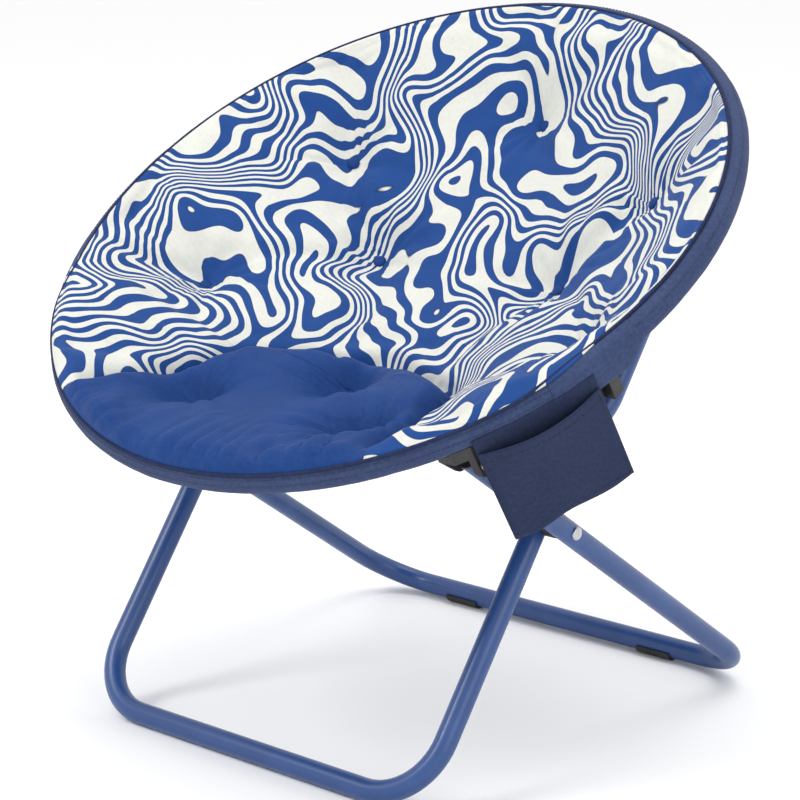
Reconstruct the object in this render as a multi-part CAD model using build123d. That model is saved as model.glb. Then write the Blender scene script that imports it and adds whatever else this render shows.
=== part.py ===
from build123d import *
import os
from math import asin, atan2, cos, degrees, hypot, radians, sin, sqrt

# Saucer chair. Millimetres and degrees, +Z up, the sitter looks towards -Y.
# The origin is on the floor, straight below the centre of the seat hoop.

# Driving dimensions: tubes
tube_diameter = 22.0
tube_wall = 1.2
bend_radius = 65.0

# Driving dimensions: leg frame
front_foot_setting = 209.7
rear_foot_setting = 289.3
front_leg_half_width = 213.8
front_arm_jog = 22.7
pivot_spacer_length = 12.5
jog_clearance = 43.4
jog_length = 90.0
jog_bend_radius = 60.0

# Driving dimensions: seat hoop
hoop_radius = 347.0
hoop_height = 491.4
hoop_tilt = 31.85
front_pin_inset = 9.2
front_pin_drop = 35.1
back_pin_inset = 22.5
back_pin_drop = 40.9

# Driving dimensions: fold hinge of the hoop
hinge_setting = 125.0
hinge_pin_drop = 12.0
hinge_set_back = 40.0
hinge_plate = 9.5
hinge_boss_radius = 10.5
hinge_collar = 6.0
hinge_plug = 20.0
hinge_toe_depth = 18.0
hinge_toe_length = 14.0
hinge_pin_radius = 3.5

# Driving dimensions: rivets, spacers, caps and feet
pivot_rivet_radius = 4.0
pivot_spacer_radius = 9.0
rivet_head_radius = 6.5
rivet_head_height = 2.4
rivet_head_round = 1.9
clevis_rivet_radius = 3.0
clevis_cheek = 4.0
clevis_boss_radius = 12.5
blind_rivet_radius = 2.4
cap_end = 2.0
cap_plug = 14.0
arm_overhang = 6.0
foot_pad_length = 42.0
foot_pad_thickness = 2.5
foot_pad_bite = 0.5
foot_pad_setting = 132.0
foot_pad_wrap = 150.0
foot_peg_radius = 3.0
foot_peg_height = 3.0

# Driving dimensions: fabric
sleeve_thickness = 1.9
piping_radius = 1.6
piping_angle = 95.0
pad_lip_angle = 104.0
pad_lip_thickness = 2.0
dish_depth = 125.0
pad_thickness = 20.0
pad_rim_height = 6.0
pad_rim_thickness = 14.0
sling_thickness = 2.0
seam_groove_radius = 7.0
seat_pad_half_width = 123.0
seat_pad_rim_half_width = 190.0
seat_pad_rim_setting = 290.0
tuft_ring_radius = 250.0
tuft_ring_count = 7
tuft_ring_start = 90.0
tuft_inner_radius = 135.0
tuft_inner_count = 3
tuft_inner_start = 30.0
tuft_depth = 9.0
tuft_ball_radius = 40.0
button_radius = 9.0
button_height = 4.0
button_round = 2.8
button_stem_radius = 2.0
button_stem_length = 6.0
pocket_width = 122.0
pocket_depth = 104.0
pocket_angle = -32.3
pocket_drop = 14.0
pocket_fabric = 1.6
pocket_bow = 3.5
pocket_mouth = 14.0

# Clearances
running_fit = 0.05
press_fit = 0.02
sleeve_fit = 0.1
plate_gap = 0.6
stop_gap = 0.3
spacer_gap = 0.3
cheek_gap = 0.5
arm_end_gap = 0.8
saddle_gap = 0.3
layer_gap = 0.4
seam_gap = 0.6
rim_gap = 1.0
toe_gap = 2.5
hinge_notch_gap = 2.0
pocket_gap = 0.4

# Sizes that follow from them
tube_radius = tube_diameter / 2
bore_radius = tube_radius - tube_wall
sleeve_radius = tube_radius + sleeve_fit + sleeve_thickness
pad_edge = hoop_radius - sleeve_radius - rim_gap
reach = 2 * (hoop_radius + hoop_height)
rear_leg_half_width = front_leg_half_width + tube_diameter + spacer_gap + pivot_spacer_length
front_arm_half_width = front_leg_half_width + front_arm_jog
arm_end_radius = hypot(arm_overhang + cap_end, tube_radius) + arm_end_gap
hoop_frame = Plane(
    origin=(0, 0, hoop_height),
    x_dir=(1, 0, 0),
    z_dir=(0, -sin(radians(hoop_tilt)), cos(radians(hoop_tilt))),
)
front_foot = Vector(0, -front_foot_setting, tube_radius)
rear_foot = Vector(0, rear_foot_setting, tube_radius + foot_pad_thickness - foot_pad_bite)


def hoop_v(x):
    """Distance from the hoop's middle to its centre line, at a place to the side."""
    return sqrt(hoop_radius**2 - x**2)


# The arms run from the foot bars to pins that sit just inside the hoop and below it
front_pin = Vector(0, front_pin_inset - hoop_v(rear_leg_half_width), -front_pin_drop)
back_pin = Vector(0, hoop_v(front_arm_half_width) - back_pin_inset, -back_pin_drop)
rear_pin = hoop_frame.from_local_coords(front_pin)
front_arm = hoop_frame.from_local_coords(back_pin) - front_foot
rear_arm = rear_pin - rear_foot
front_arm_end = front_arm.length
rear_arm_end = rear_arm.length
front_rise = front_arm.normalized()
rear_rise = rear_arm.normalized()


def crossing_along():
    """Distance up the front leg from its foot bar to the point where the legs cross."""
    gap = rear_foot - front_foot
    turn = front_rise.Y * rear_rise.Z - front_rise.Z * rear_rise.Y
    return (gap.Y * rear_rise.Z - gap.Z * rear_rise.Y) / turn


front_cross = crossing_along()
cross = front_foot + front_rise * front_cross
hinge_v = -hinge_setting
hinge_x = sqrt(hoop_radius**2 - hinge_v**2)
front_end_v = hinge_v - hinge_set_back
back_end_v = hinge_v + hinge_set_back
front_end_angle = degrees(asin(front_end_v / hoop_radius))
back_end_angle = degrees(asin(back_end_v / hoop_radius))


def save(name, shape):
    """Write one named piece to its own file."""
    export_step(shape, os.path.join("parts", name + ".step"))


def rod_x(radius, x0, x1, y, z):
    """Round rod along X between two places."""
    return Pos((x0 + x1) / 2, y, z) * (Rot(0, 90, 0) * Cylinder(radius, abs(x1 - x0)))


def block(x0, x1, y0, y1, z0, z1):
    """Box between two corners."""
    return Pos((x0 + x1) / 2, (y0 + y1) / 2, (z0 + z1) / 2) * Box(x1 - x0, y1 - y0, z1 - z0)


def upright(radius, height):
    """Round rod that stands on the origin."""
    return Cylinder(radius, height, align=(Align.CENTER, Align.CENTER, Align.MIN))


def in_hoop(shape):
    """Carry a shape from the hoop's own plane to its place in the chair."""
    return hoop_frame.location * shape


# Bent leg tubes
def leg_tube(corners, radii):
    """Hollow tube bent along a line of corners."""
    path = FilletPolyline(*corners, radius=radii)
    section = Plane(origin=path @ 0, z_dir=path % 0)
    wall = section * (Circle(tube_radius) - Circle(bore_radius))
    return sweep(wall, path=path)


def arm_point(foot, rise, along, x):
    return foot + rise * along + Vector(x, 0, 0)


front_tube_length = front_arm_end + arm_overhang
rear_tube_length = rear_arm_end + arm_overhang
jog_start = front_cross + jog_clearance
front_side = [
    (front_tube_length, front_arm_half_width),
    (jog_start + jog_length, front_arm_half_width),
    (jog_start, front_leg_half_width),
    (0, front_leg_half_width),
]
rear_side = [(rear_tube_length, rear_leg_half_width), (0, rear_leg_half_width)]


def u_corners(foot, rise, side):
    left = [arm_point(foot, rise, along, -x) for along, x in side]
    right = [arm_point(foot, rise, along, x) for along, x in reversed(side)]
    return left + right


front_radii = [jog_bend_radius, jog_bend_radius, bend_radius]
front_leg = leg_tube(u_corners(front_foot, front_rise, front_side), front_radii + front_radii[::-1])
rear_leg = leg_tube(u_corners(rear_foot, rear_rise, rear_side), [bend_radius, bend_radius])
pivot_bore = pivot_rivet_radius + running_fit
clevis_bore = clevis_rivet_radius + running_fit
foot_peg_top = rear_foot.Z - bore_radius + foot_peg_height

# The pivot holes run through both legs, the clevis holes through the rear arm ends
front_leg -= rod_x(pivot_bore, -reach, reach, cross.Y, cross.Z)
rear_leg -= rod_x(pivot_rivet_radius + press_fit, -reach, reach, cross.Y, cross.Z)
rear_leg -= rod_x(clevis_bore, -reach, reach, rear_pin.Y, rear_pin.Z)
for side in (-1, 1):
    peg_hole = upright(foot_peg_radius + press_fit, rear_foot.Z)
    rear_leg -= Pos(side * foot_pad_setting, rear_foot.Y, 0) * peg_hole


# Plastic caps in the open arm ends
def end_cap(foot, rise, along, x):
    """Disc over the tube's mouth with a plug that reaches down the bore."""
    mouth = Plane(origin=arm_point(foot, rise, along, x), z_dir=rise)
    disc = upright(tube_radius, cap_end)
    plug = Cylinder(bore_radius - press_fit, cap_plug, align=(Align.CENTER, Align.CENTER, Align.MAX))
    return mouth.location * (disc + plug)


# Foot pads clipped around the underside of the rear foot bar
def foot_pad(side):
    """Lower part of a ring, cut flat on the floor, with a peg into the tube."""
    ring = Circle(tube_radius + foot_pad_thickness) - Circle(tube_radius + press_fit)
    clip = Rot(0, 90, 0) * extrude(ring, foot_pad_length / 2, both=True)
    lip = (tube_radius + foot_pad_thickness) * cos(radians(foot_pad_wrap / 2))
    clip -= block(-reach, reach, -reach, reach, -lip, reach)
    clip = Pos(side * foot_pad_setting, rear_foot.Y, rear_foot.Z) * clip
    peg_base = rear_foot.Z - tube_radius - foot_pad_thickness / 2
    peg = upright(foot_peg_radius, foot_peg_top - peg_base)
    clip += Pos(side * foot_pad_setting, rear_foot.Y, peg_base) * peg
    return clip - block(-reach, reach, -reach, reach, -reach, 0)


# Rivets and spacers where the legs cross
def dome_rivet(radius, x0, x1, side, y, z):
    """Shank along X with a domed head on each end, mirrored for the left side."""
    shank = rod_x(radius, side * x0, side * x1, y, z)
    inner = Rot(0, -90 * side, 0) * rivet_head()
    outer = Rot(0, 90 * side, 0) * rivet_head()
    return shank + Pos(side * x0, y, z) * inner + Pos(side * x1, y, z) * outer


def rivet_head():
    head = upright(rivet_head_radius, rivet_head_height)
    rim = head.edges().sort_by(Axis.Z)[-1]
    return fillet(rim, rivet_head_round)


def pivot_rivet(side):
    inner = front_leg_half_width - tube_radius - spacer_gap
    outer = rear_leg_half_width + tube_radius
    return dome_rivet(pivot_rivet_radius, inner, outer, side, cross.Y, cross.Z)


def pivot_spacer(side):
    inner = side * (front_leg_half_width + tube_radius + spacer_gap)
    outer = side * (rear_leg_half_width - tube_radius)
    ring = rod_x(pivot_spacer_radius, inner, outer, cross.Y, cross.Z)
    return ring - rod_x(pivot_rivet_radius + press_fit, -reach, reach, cross.Y, cross.Z)


# Hoop tubes, turned about the hoop's axis
def hoop_arc(outer, inner, start, sweep_angle):
    """Length of round ring, solid when the inner radius is zero."""
    section = Circle(outer)
    if inner:
        section -= Circle(inner)
    face = Plane.XZ * (Pos(hoop_radius, 0) * section)
    return Rot(0, 0, start) * revolve(face, Axis.Z, sweep_angle)


front_start = 180 - front_end_angle
front_sweep = 180 + 2 * front_end_angle
back_start = back_end_angle
back_sweep = 180 - 2 * back_end_angle
front_hoop = hoop_arc(tube_radius, bore_radius, front_start, front_sweep)
back_hoop = hoop_arc(tube_radius, bore_radius, back_start, back_sweep)


# Fold hinge: a front plate laps inside a back plate, on one pin each side
def arc_degrees(length):
    return degrees(length / hoop_radius)


def lane(outline, side, x0, x1):
    """Plate in a lane of X, from an outline drawn on (v, z) of the hoop plane."""
    plate = extrude(Plane.YZ * outline, x1 - x0)
    plate = Pos(x0, 0, 0) * plate
    return plate if side > 0 else mirror(plate, about=Plane.YZ)


def hinge_outline(end_v, gap=0.0):
    """Web from the boss around the pin to the lower half of the tube's end."""
    boss = Pos(hinge_v, -hinge_pin_drop) * Circle(hinge_boss_radius + gap)
    step = hinge_collar if end_v < hinge_v else -hinge_collar
    socket = Rectangle(hinge_collar + 2 * gap, tube_radius + 2 * gap)
    socket = Pos(end_v + step / 2, -tube_radius / 2) * socket
    return make_hull((boss + socket).edges())


toe_top = -hinge_pin_drop - hinge_boss_radius - toe_gap
toe_bottom = toe_top - hinge_toe_depth
lap_low = hinge_x - plate_gap / 2
lap_high = hinge_x + plate_gap / 2


def toe_outline(way, top, gap=0.0):
    """Toe under the boss, which meets the other toe when the hoop is open."""
    toe = Rectangle(hinge_toe_length + 2 * gap, top - toe_bottom + 2 * gap)
    return Pos(hinge_v + way * (stop_gap + hinge_toe_length) / 2, (top + toe_bottom) / 2) * toe


def hinge_room(side):
    """Room for both knuckles, their toes and the pin, with a gap all round."""
    outline = hinge_outline(front_end_v, hinge_notch_gap) + hinge_outline(back_end_v, hinge_notch_gap)
    outline += toe_outline(-1, -hinge_pin_drop, hinge_notch_gap)
    outline += toe_outline(1, -hinge_pin_drop, hinge_notch_gap)
    past = hinge_plate + rivet_head_height + hinge_notch_gap
    return lane(outline, side, lap_low - past, lap_high + stop_gap + past)


def hinge_collar_and_plug(side, end_angle, towards_hinge):
    """Collar against the tube's end and plug inside the tube."""
    collar = arc_degrees(hinge_collar) * towards_hinge
    plug = -arc_degrees(hinge_plug) * towards_hinge
    ends = sorted((end_angle, end_angle + collar))
    inside = sorted((end_angle, end_angle + plug))
    body = hoop_arc(tube_radius, 0, ends[0], ends[1] - ends[0])
    body += hoop_arc(bore_radius - press_fit, 0, inside[0], inside[1] - inside[0])
    return body if side > 0 else mirror(body, about=Plane.YZ)


def front_knuckle(side):
    outline = hinge_outline(front_end_v) + toe_outline(-1, -hinge_pin_drop)
    plate = lane(outline, side, lap_low - hinge_plate, lap_low)
    plate += hinge_collar_and_plug(side, front_end_angle, 1)
    plate &= Cylinder(hoop_radius + tube_radius, reach)
    return plate - rod_x(hinge_pin_radius + press_fit, -reach, reach, hinge_v, -hinge_pin_drop)


def back_knuckle(side):
    outline = hinge_outline(back_end_v) + toe_outline(1, -hinge_pin_drop)
    plate = lane(outline, side, lap_high, lap_high + hinge_plate)
    plate += lane(toe_outline(1, toe_top), side, lap_low - hinge_plate, lap_high + hinge_plate)
    plate += hinge_collar_and_plug(side, back_end_angle, -1)
    return plate - rod_x(hinge_pin_radius + running_fit, -reach, reach, hinge_v, -hinge_pin_drop)


def hinge_pin(side):
    inner = lap_low - hinge_plate
    outer = lap_high + hinge_plate + stop_gap
    return dome_rivet(hinge_pin_radius, inner, outer, side, hinge_v, -hinge_pin_drop)


# Padded dish and sling, turned about the hoop's axis
def bowl_centre(edge_r, edge_z, depth):
    """Height of the centre of the ball through a rim and a bottom point."""
    sag = edge_z + depth
    ball = (edge_r**2 + sag**2) / (2 * sag)
    return ball - depth, ball


pad_top_centre, pad_top_ball = bowl_centre(pad_edge, pad_rim_height, dish_depth)
pad_base_z = pad_rim_height - pad_rim_thickness
sling_depth = dish_depth + pad_thickness + layer_gap
sling_z = pad_base_z - layer_gap
sling_low_centre, sling_low_ball = bowl_centre(
    pad_edge, sling_z - sling_thickness, sling_depth + sling_thickness
)


def bowl_arc(edge_z, depth):
    centre, ball = bowl_centre(pad_edge, edge_z, depth)
    middle = pad_edge / 2
    return ThreePointArc((0, -depth), (middle, centre - sqrt(ball**2 - middle**2)), (pad_edge, edge_z))


def bowl_face(top_z, top_depth, low_z, low_depth):
    """Half section of a dish between two ball-shaped faces with an upright rim."""
    upper = bowl_arc(top_z, top_depth)
    lower = bowl_arc(low_z, low_depth)
    rim = Line((pad_edge, top_z), (pad_edge, low_z))
    middle = Line((0, -top_depth), (0, -low_depth))
    return make_face([upper, rim, lower, middle])


def lip_face():
    """Section of the pad's edge, drawn up over the inner side of the rim sleeve."""
    tube_centre = (hoop_radius, 0)
    low = sleeve_radius + layer_gap
    turn = 180 - pad_lip_angle
    inner = CenterArc(tube_centre, low, pad_lip_angle, turn)
    outer = CenterArc(tube_centre, low + pad_lip_thickness, pad_lip_angle, turn)
    ends = [Line(inner @ 0, outer @ 0), Line(inner @ 1, outer @ 1)]
    return make_face([inner, outer] + ends)


def turned(face):
    """Ring or dish made by turning a half section about the hoop's axis."""
    return revolve(Plane.XZ * face, Axis.Z, 360)


def half_space(x, v, angle):
    """Everything to the left of a line drawn through a point of the hoop plane."""
    return Pos(x, v, 0) * (Rot(0, 0, angle) * (Pos(0, reach / 2, 0) * Box(reach, reach, reach)))


def seam_groove(x, v, angle):
    """Ring that rounds the pad's top where a straight seam crosses it."""
    away = x * -sin(radians(angle)) + v * cos(radians(angle))
    ring = Torus(sqrt(pad_top_ball**2 - away**2), seam_groove_radius)
    return Rot(0, 0, angle) * (Pos(0, away, pad_top_centre) * (Rot(90, 0, 0) * ring))


seam_angle = degrees(
    atan2(seat_pad_rim_setting - hinge_setting, seat_pad_rim_half_width - seat_pad_half_width)
)
side_seam = seam_groove(seat_pad_half_width, hinge_v, -seam_angle)


# Sewn tufts
def tuft_place(radius, angle):
    """Frame at the pad's top, its Z along the pull of the thread."""
    x = radius * cos(radians(angle))
    v = radius * sin(radians(angle))
    surface = Vector(x, v, pad_top_centre - sqrt(pad_top_ball**2 - radius**2))
    return Plane(origin=surface, z_dir=Vector(0, 0, pad_top_centre) - surface)


def tuft_ring(radius, count, start):
    """Tufts evenly spaced on one circle."""
    return [tuft_place(radius, start + 360 * k / count) for k in range(count)]


tufts = tuft_ring(tuft_ring_radius, tuft_ring_count, tuft_ring_start)
tufts += tuft_ring(tuft_inner_radius, tuft_inner_count, tuft_inner_start)
stem_base = -tuft_depth - button_stem_length
button_base = -tuft_depth + button_radius**2 / (2 * tuft_ball_radius) + layer_gap


def tuft_dimple(place):
    ball = Pos(0, 0, tuft_ball_radius - tuft_depth) * Sphere(tuft_ball_radius)
    hole = upright(button_stem_radius + press_fit, -stem_base)
    return place.location * (ball + Pos(0, 0, stem_base) * hole)


def tuft_button(place):
    disc = upright(button_radius, button_height)
    disc = fillet(disc.edges().sort_by(Axis.Z)[-1], button_round)
    stem = upright(button_stem_radius, button_base - stem_base)
    return place.location * (Pos(0, 0, button_base) * disc + Pos(0, 0, stem_base) * stem)


pad_face = bowl_face(pad_rim_height, dish_depth, pad_base_z, dish_depth + pad_thickness)
pad_dish = turned(pad_face + lip_face())
pad_dish -= seam_groove(0, hinge_v, 0)
for place in tufts:
    pad_dish -= tuft_dimple(place)
sling_low_z = sling_z - sling_thickness
sling_dish = turned(bowl_face(sling_z, sling_depth, sling_low_z, sling_depth + sling_thickness))

# The sleeves run on over the hinges, to where the two halves of the cover meet
fold_angle = degrees(asin(hinge_v / hoop_radius))
fold_turn = degrees(seam_gap / hoop_radius)
front_fold = 180 - fold_angle + fold_turn
back_fold = fold_angle + fold_turn
sleeve_bore = tube_radius + sleeve_fit
front_sleeve = hoop_arc(sleeve_radius, sleeve_bore, front_fold, 180 + 2 * (fold_angle - fold_turn))
back_sleeve = hoop_arc(sleeve_radius, sleeve_bore, back_fold, 180 - 2 * (fold_angle + fold_turn))
piping_distance = sleeve_radius + piping_radius + layer_gap
piping_r = hoop_radius + piping_distance * cos(radians(piping_angle))
piping_z = piping_distance * sin(radians(piping_angle))
piping_ring = turned(Pos(piping_r, piping_z) * Circle(piping_radius))
for side in (-1, 1):
    room = hinge_room(side)
    pad_dish -= room
    sling_dish -= room
    front_sleeve -= room
    back_sleeve -= room
behind = half_space(0, hinge_v + seam_gap / 2, 0)
ahead = half_space(0, hinge_v - seam_gap / 2, 180)
right_of_seam = half_space(seat_pad_half_width + seam_gap, hinge_v, -seam_angle)
left_of_seam = mirror(right_of_seam, about=Plane.YZ)
between = half_space(seat_pad_half_width, hinge_v, 180 - seam_angle)
between &= mirror(between, about=Plane.YZ)
back_pad = pad_dish & behind
front_pads = (pad_dish & ahead) - side_seam - mirror(side_seam, about=Plane.YZ)
seat_pad = front_pads & between
side_pad_right = front_pads & right_of_seam
side_pad_left = front_pads & left_of_seam


# Clevis brackets: a saddle under the hoop with a cheek each side of the arm
def clevis(arm_x, pin, web_v, rivet_bore):
    """Bracket on the +X side of the hoop plane around one arm end."""
    inside = tube_radius + cheek_gap
    outside = inside + clevis_cheek
    web_low = pin.Z + arm_end_radius
    web = block(arm_x - outside, arm_x + outside, web_v[0], web_v[1], web_low, 0)
    boss = Pos(pin.Y, pin.Z) * Circle(clevis_boss_radius)
    saddle = Pos((web_v[0] + web_v[1]) / 2, web_low / 2) * Rectangle(web_v[1] - web_v[0], -web_low)
    outline = make_hull((boss + saddle).edges())
    body = web + lane(outline, 1, arm_x - outside, arm_x - inside)
    body += lane(outline, 1, arm_x + inside, arm_x + outside)
    body &= Cylinder(hoop_radius + tube_radius, reach)
    body -= Torus(hoop_radius, sleeve_radius + saddle_gap)
    body -= Pos(0, 0, sling_low_centre) * Sphere(sling_low_ball + saddle_gap)
    return body - rod_x(rivet_bore, -reach, reach, pin.Y, pin.Z)


def blind_rivet(x, v, low):
    """Rivet from the bracket's web up into the hoop tube, flush at its foot."""
    return Pos(x, v, low) * upright(blind_rivet_radius, -low)


front_rivet_v = -hoop_v(rear_leg_half_width)
front_web = (front_rivet_v - sleeve_radius, front_pin.Y + clevis_boss_radius)
back_rivet_v = hoop_v(front_arm_half_width)
back_web = (back_pin.Y + clevis_boss_radius, back_rivet_v + sleeve_radius)
front_clevis_right = clevis(
    rear_leg_half_width, front_pin, front_web, clevis_rivet_radius + press_fit
)
back_clevis_right = clevis(
    front_arm_half_width, back_pin, back_web, clevis_rivet_radius + press_fit
)
front_blind = blind_rivet(rear_leg_half_width, front_rivet_v, front_pin.Z + arm_end_radius)
back_blind = blind_rivet(front_arm_half_width, back_rivet_v, back_pin.Z + arm_end_radius)
front_blinds = [front_blind, mirror(front_blind, about=Plane.YZ)]
back_blinds = [back_blind, mirror(back_blind, about=Plane.YZ)]


def drilled(shape, x, v):
    """Blind rivet holes through a piece on both sides of the hoop."""
    depth = 2 * (sleeve_radius + clevis_boss_radius)
    for side in (-1, 1):
        shape -= Pos(side * x, v, -depth) * upright(blind_rivet_radius + press_fit, depth)
    return shape


front_hoop = drilled(front_hoop, rear_leg_half_width, front_rivet_v)
front_sleeve = drilled(front_sleeve, rear_leg_half_width, front_rivet_v)
front_clevis_right = drilled(front_clevis_right, rear_leg_half_width, front_rivet_v)
back_hoop = drilled(back_hoop, front_arm_half_width, back_rivet_v)
back_sleeve = drilled(back_sleeve, front_arm_half_width, back_rivet_v)
back_clevis_right = drilled(back_clevis_right, front_arm_half_width, back_rivet_v)


def clevis_rivet(side):
    inner = rear_leg_half_width - tube_radius - cheek_gap - clevis_cheek
    outer = rear_leg_half_width + tube_radius + cheek_gap + clevis_cheek
    return dome_rivet(clevis_rivet_radius, inner, outer, side, front_pin.Y, front_pin.Z)


def stub_rivets(side):
    """Two short rivets, one in each cheek, that stop short of the arm."""
    stubs = []
    for way in (-1, 1):
        near = front_arm_half_width + way * (tube_radius + cheek_gap)
        far = near + way * clevis_cheek
        stub = rod_x(clevis_rivet_radius, side * near, side * far, back_pin.Y, back_pin.Z)
        head = Rot(0, 90 * side * way, 0) * rivet_head()
        stubs.append(stub + Pos(side * far, back_pin.Y, back_pin.Z) * head)
    return stubs


# Side pocket: a back panel sewn along the rim sleeve, a front panel bowed out at its mouth
def pocket_strip(middle, bow, z):
    """Thin strip across the pocket, its ends set in from the middle by the bow."""
    half = pocket_width / 2
    inner = middle - bow
    outer = inner + pocket_fabric
    inside = ThreePointArc((inner, -half), (inner + bow, 0), (inner, half))
    outside = ThreePointArc((outer, -half), (outer + bow, 0), (outer, half))
    ends = [Line((inner, -half), (outer, -half)), Line((inner, half), (outer, half))]
    return Pos(0, 0, z) * make_face([inside, outside] + ends)


pocket_back_face = hoop_radius + sleeve_radius + pocket_gap
pocket_front_face = pocket_back_face + pocket_fabric + pocket_gap
pocket_base = -pocket_drop - pocket_depth
pocket_turn = Rot(0, 0, pocket_angle)
pocket_back = loft([
    pocket_strip(pocket_back_face, pocket_bow, 0),
    pocket_strip(pocket_back_face, pocket_bow / 2, pocket_base),
])
pocket_front = loft([
    pocket_strip(pocket_front_face + pocket_mouth, pocket_mouth + pocket_bow, -pocket_drop),
    pocket_strip(pocket_front_face, pocket_bow / 2, pocket_base),
])

# Write every piece
os.makedirs("parts", exist_ok=True)
save("front_leg_tube", front_leg)
save("rear_leg_tube", rear_leg)
for side, name in ((-1, "left"), (1, "right")):
    rear_cap = end_cap(rear_foot, rear_rise, rear_tube_length, side * rear_leg_half_width)
    rear_cap -= rod_x(clevis_bore, -reach, reach, rear_pin.Y, rear_pin.Z)
    front_cap = end_cap(front_foot, front_rise, front_tube_length, side * front_arm_half_width)
    save("front_arm_cap_" + name, front_cap)
    save("rear_arm_cap_" + name, rear_cap)
    save("rear_foot_pad_" + name, foot_pad(side))
    save("pivot_rivet_" + name, pivot_rivet(side))
    save("pivot_spacer_" + name, pivot_spacer(side))
    save("front_hinge_knuckle_" + name, in_hoop(front_knuckle(side)))
    save("back_hinge_knuckle_" + name, in_hoop(back_knuckle(side)))
    save("hinge_pin_" + name, in_hoop(hinge_pin(side)))
    front_clevis = front_clevis_right if side > 0 else mirror(front_clevis_right, about=Plane.YZ)
    back_clevis = back_clevis_right if side > 0 else mirror(back_clevis_right, about=Plane.YZ)
    save("front_clevis_" + name, in_hoop(front_clevis))
    save("back_clevis_" + name, in_hoop(back_clevis))
    save("front_clevis_rivet_" + name, in_hoop(clevis_rivet(side)))
    save("back_clevis_rivets_" + name, in_hoop(Compound(children=stub_rivets(side))))
save("front_blind_rivets", in_hoop(Compound(children=front_blinds)))
save("back_blind_rivets", in_hoop(Compound(children=back_blinds)))
save("front_hoop_tube", in_hoop(front_hoop))
save("back_hoop_tube", in_hoop(back_hoop))
save("front_rim_sleeve", in_hoop(front_sleeve))
save("back_rim_sleeve", in_hoop(back_sleeve))
save("front_piping", in_hoop(piping_ring & ahead))
save("back_piping", in_hoop(piping_ring & behind))
save("back_pad", in_hoop(back_pad))
save("seat_pad", in_hoop(seat_pad))
save("side_pad_left", in_hoop(side_pad_left))
save("side_pad_right", in_hoop(side_pad_right))
save("back_sling", in_hoop(sling_dish & behind))
save("front_sling", in_hoop(sling_dish & ahead))
front_buttons = [tuft_button(place) for place in tufts if place.origin.Y < hinge_v]
back_buttons = [tuft_button(place) for place in tufts if place.origin.Y > hinge_v]
save("front_tuft_buttons", in_hoop(Compound(children=front_buttons)))
save("back_tuft_buttons", in_hoop(Compound(children=back_buttons)))
save("pocket_back_panel", in_hoop(pocket_turn * pocket_back))
save("pocket_front_panel", in_hoop(pocket_turn * pocket_front))
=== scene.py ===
import math

import bmesh
import bpy
from mathutils import Matrix, Vector, noise
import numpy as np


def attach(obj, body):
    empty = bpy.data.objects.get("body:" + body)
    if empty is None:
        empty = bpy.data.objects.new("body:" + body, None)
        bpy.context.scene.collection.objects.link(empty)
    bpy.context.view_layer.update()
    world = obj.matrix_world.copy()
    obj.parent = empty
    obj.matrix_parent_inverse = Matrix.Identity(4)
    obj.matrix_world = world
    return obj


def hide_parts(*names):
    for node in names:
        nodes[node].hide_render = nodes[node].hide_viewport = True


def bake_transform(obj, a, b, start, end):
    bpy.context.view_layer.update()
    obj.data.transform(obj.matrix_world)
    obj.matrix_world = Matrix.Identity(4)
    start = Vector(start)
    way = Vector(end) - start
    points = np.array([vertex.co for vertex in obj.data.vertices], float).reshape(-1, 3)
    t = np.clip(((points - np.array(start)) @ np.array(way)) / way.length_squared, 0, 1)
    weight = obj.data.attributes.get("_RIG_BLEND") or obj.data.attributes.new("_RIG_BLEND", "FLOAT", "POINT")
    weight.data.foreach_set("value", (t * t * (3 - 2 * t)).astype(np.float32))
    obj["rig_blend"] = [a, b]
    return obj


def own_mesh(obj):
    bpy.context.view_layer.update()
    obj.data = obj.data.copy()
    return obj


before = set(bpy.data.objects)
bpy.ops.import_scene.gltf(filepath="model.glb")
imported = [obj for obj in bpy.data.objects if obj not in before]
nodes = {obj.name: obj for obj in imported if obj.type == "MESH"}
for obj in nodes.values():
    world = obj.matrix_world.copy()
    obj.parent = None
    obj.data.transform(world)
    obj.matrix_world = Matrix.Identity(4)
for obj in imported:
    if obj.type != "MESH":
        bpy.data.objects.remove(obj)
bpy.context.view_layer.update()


# Leg frame and hoop tubes
# Two crossed U legs and the two halves of the seat hoop, bent from round steel tube.
# They are powder coated royal blue: a smooth gloss with a little orange peel and rub marks.
paint_blue = (0.012, 0.052, 0.190, 1)
paint_rubbed = (0.020, 0.070, 0.235, 1)
mark_scale = 22.0
speck_ratio = 14.0
rub_range = (0.45, 0.8)
speck_range = (0.2, 0.8)
rough_spread = 0.12
grain_height = 0.0004


def new_material(name):
    """New material, with its node tree and its Principled shader."""
    material = bpy.data.materials.new(name)
    material.use_nodes = True
    tree = material.node_tree
    return material, tree, tree.nodes["Principled BSDF"]


def put(tree, socket, value):
    """Link another node's output to a socket, or set a fixed value on it."""
    if isinstance(value, bpy.types.NodeSocket):
        tree.links.new(value, socket)
    else:
        socket.default_value = value


def set_sockets(tree, node, **sockets):
    """Set the sockets of a node by name, with a low line for each space."""
    for name, value in sockets.items():
        put(tree, node.inputs[name.replace("_", " ")], value)
    return node


def add(tree, kind, **sockets):
    """New node of one kind, with its sockets set."""
    return set_sockets(tree, tree.nodes.new(kind), **sockets)


def operate(tree, kind, operation, operands):
    """Outputs of a new math node, its operands fixed or linked."""
    made = tree.nodes.new(kind)
    made.operation = operation
    for socket, operand in zip(made.inputs, operands):
        put(tree, socket, operand)
    return made.outputs


def math_node(tree, operation, *operands):
    """Result of one arithmetic step on values."""
    return operate(tree, "ShaderNodeMath", operation, operands)["Value"]


def vector_node(tree, operation, result, *operands):
    """Result of one step on vectors, taken from the named output."""
    return operate(tree, "ShaderNodeVectorMath", operation, operands)[result]


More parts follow.
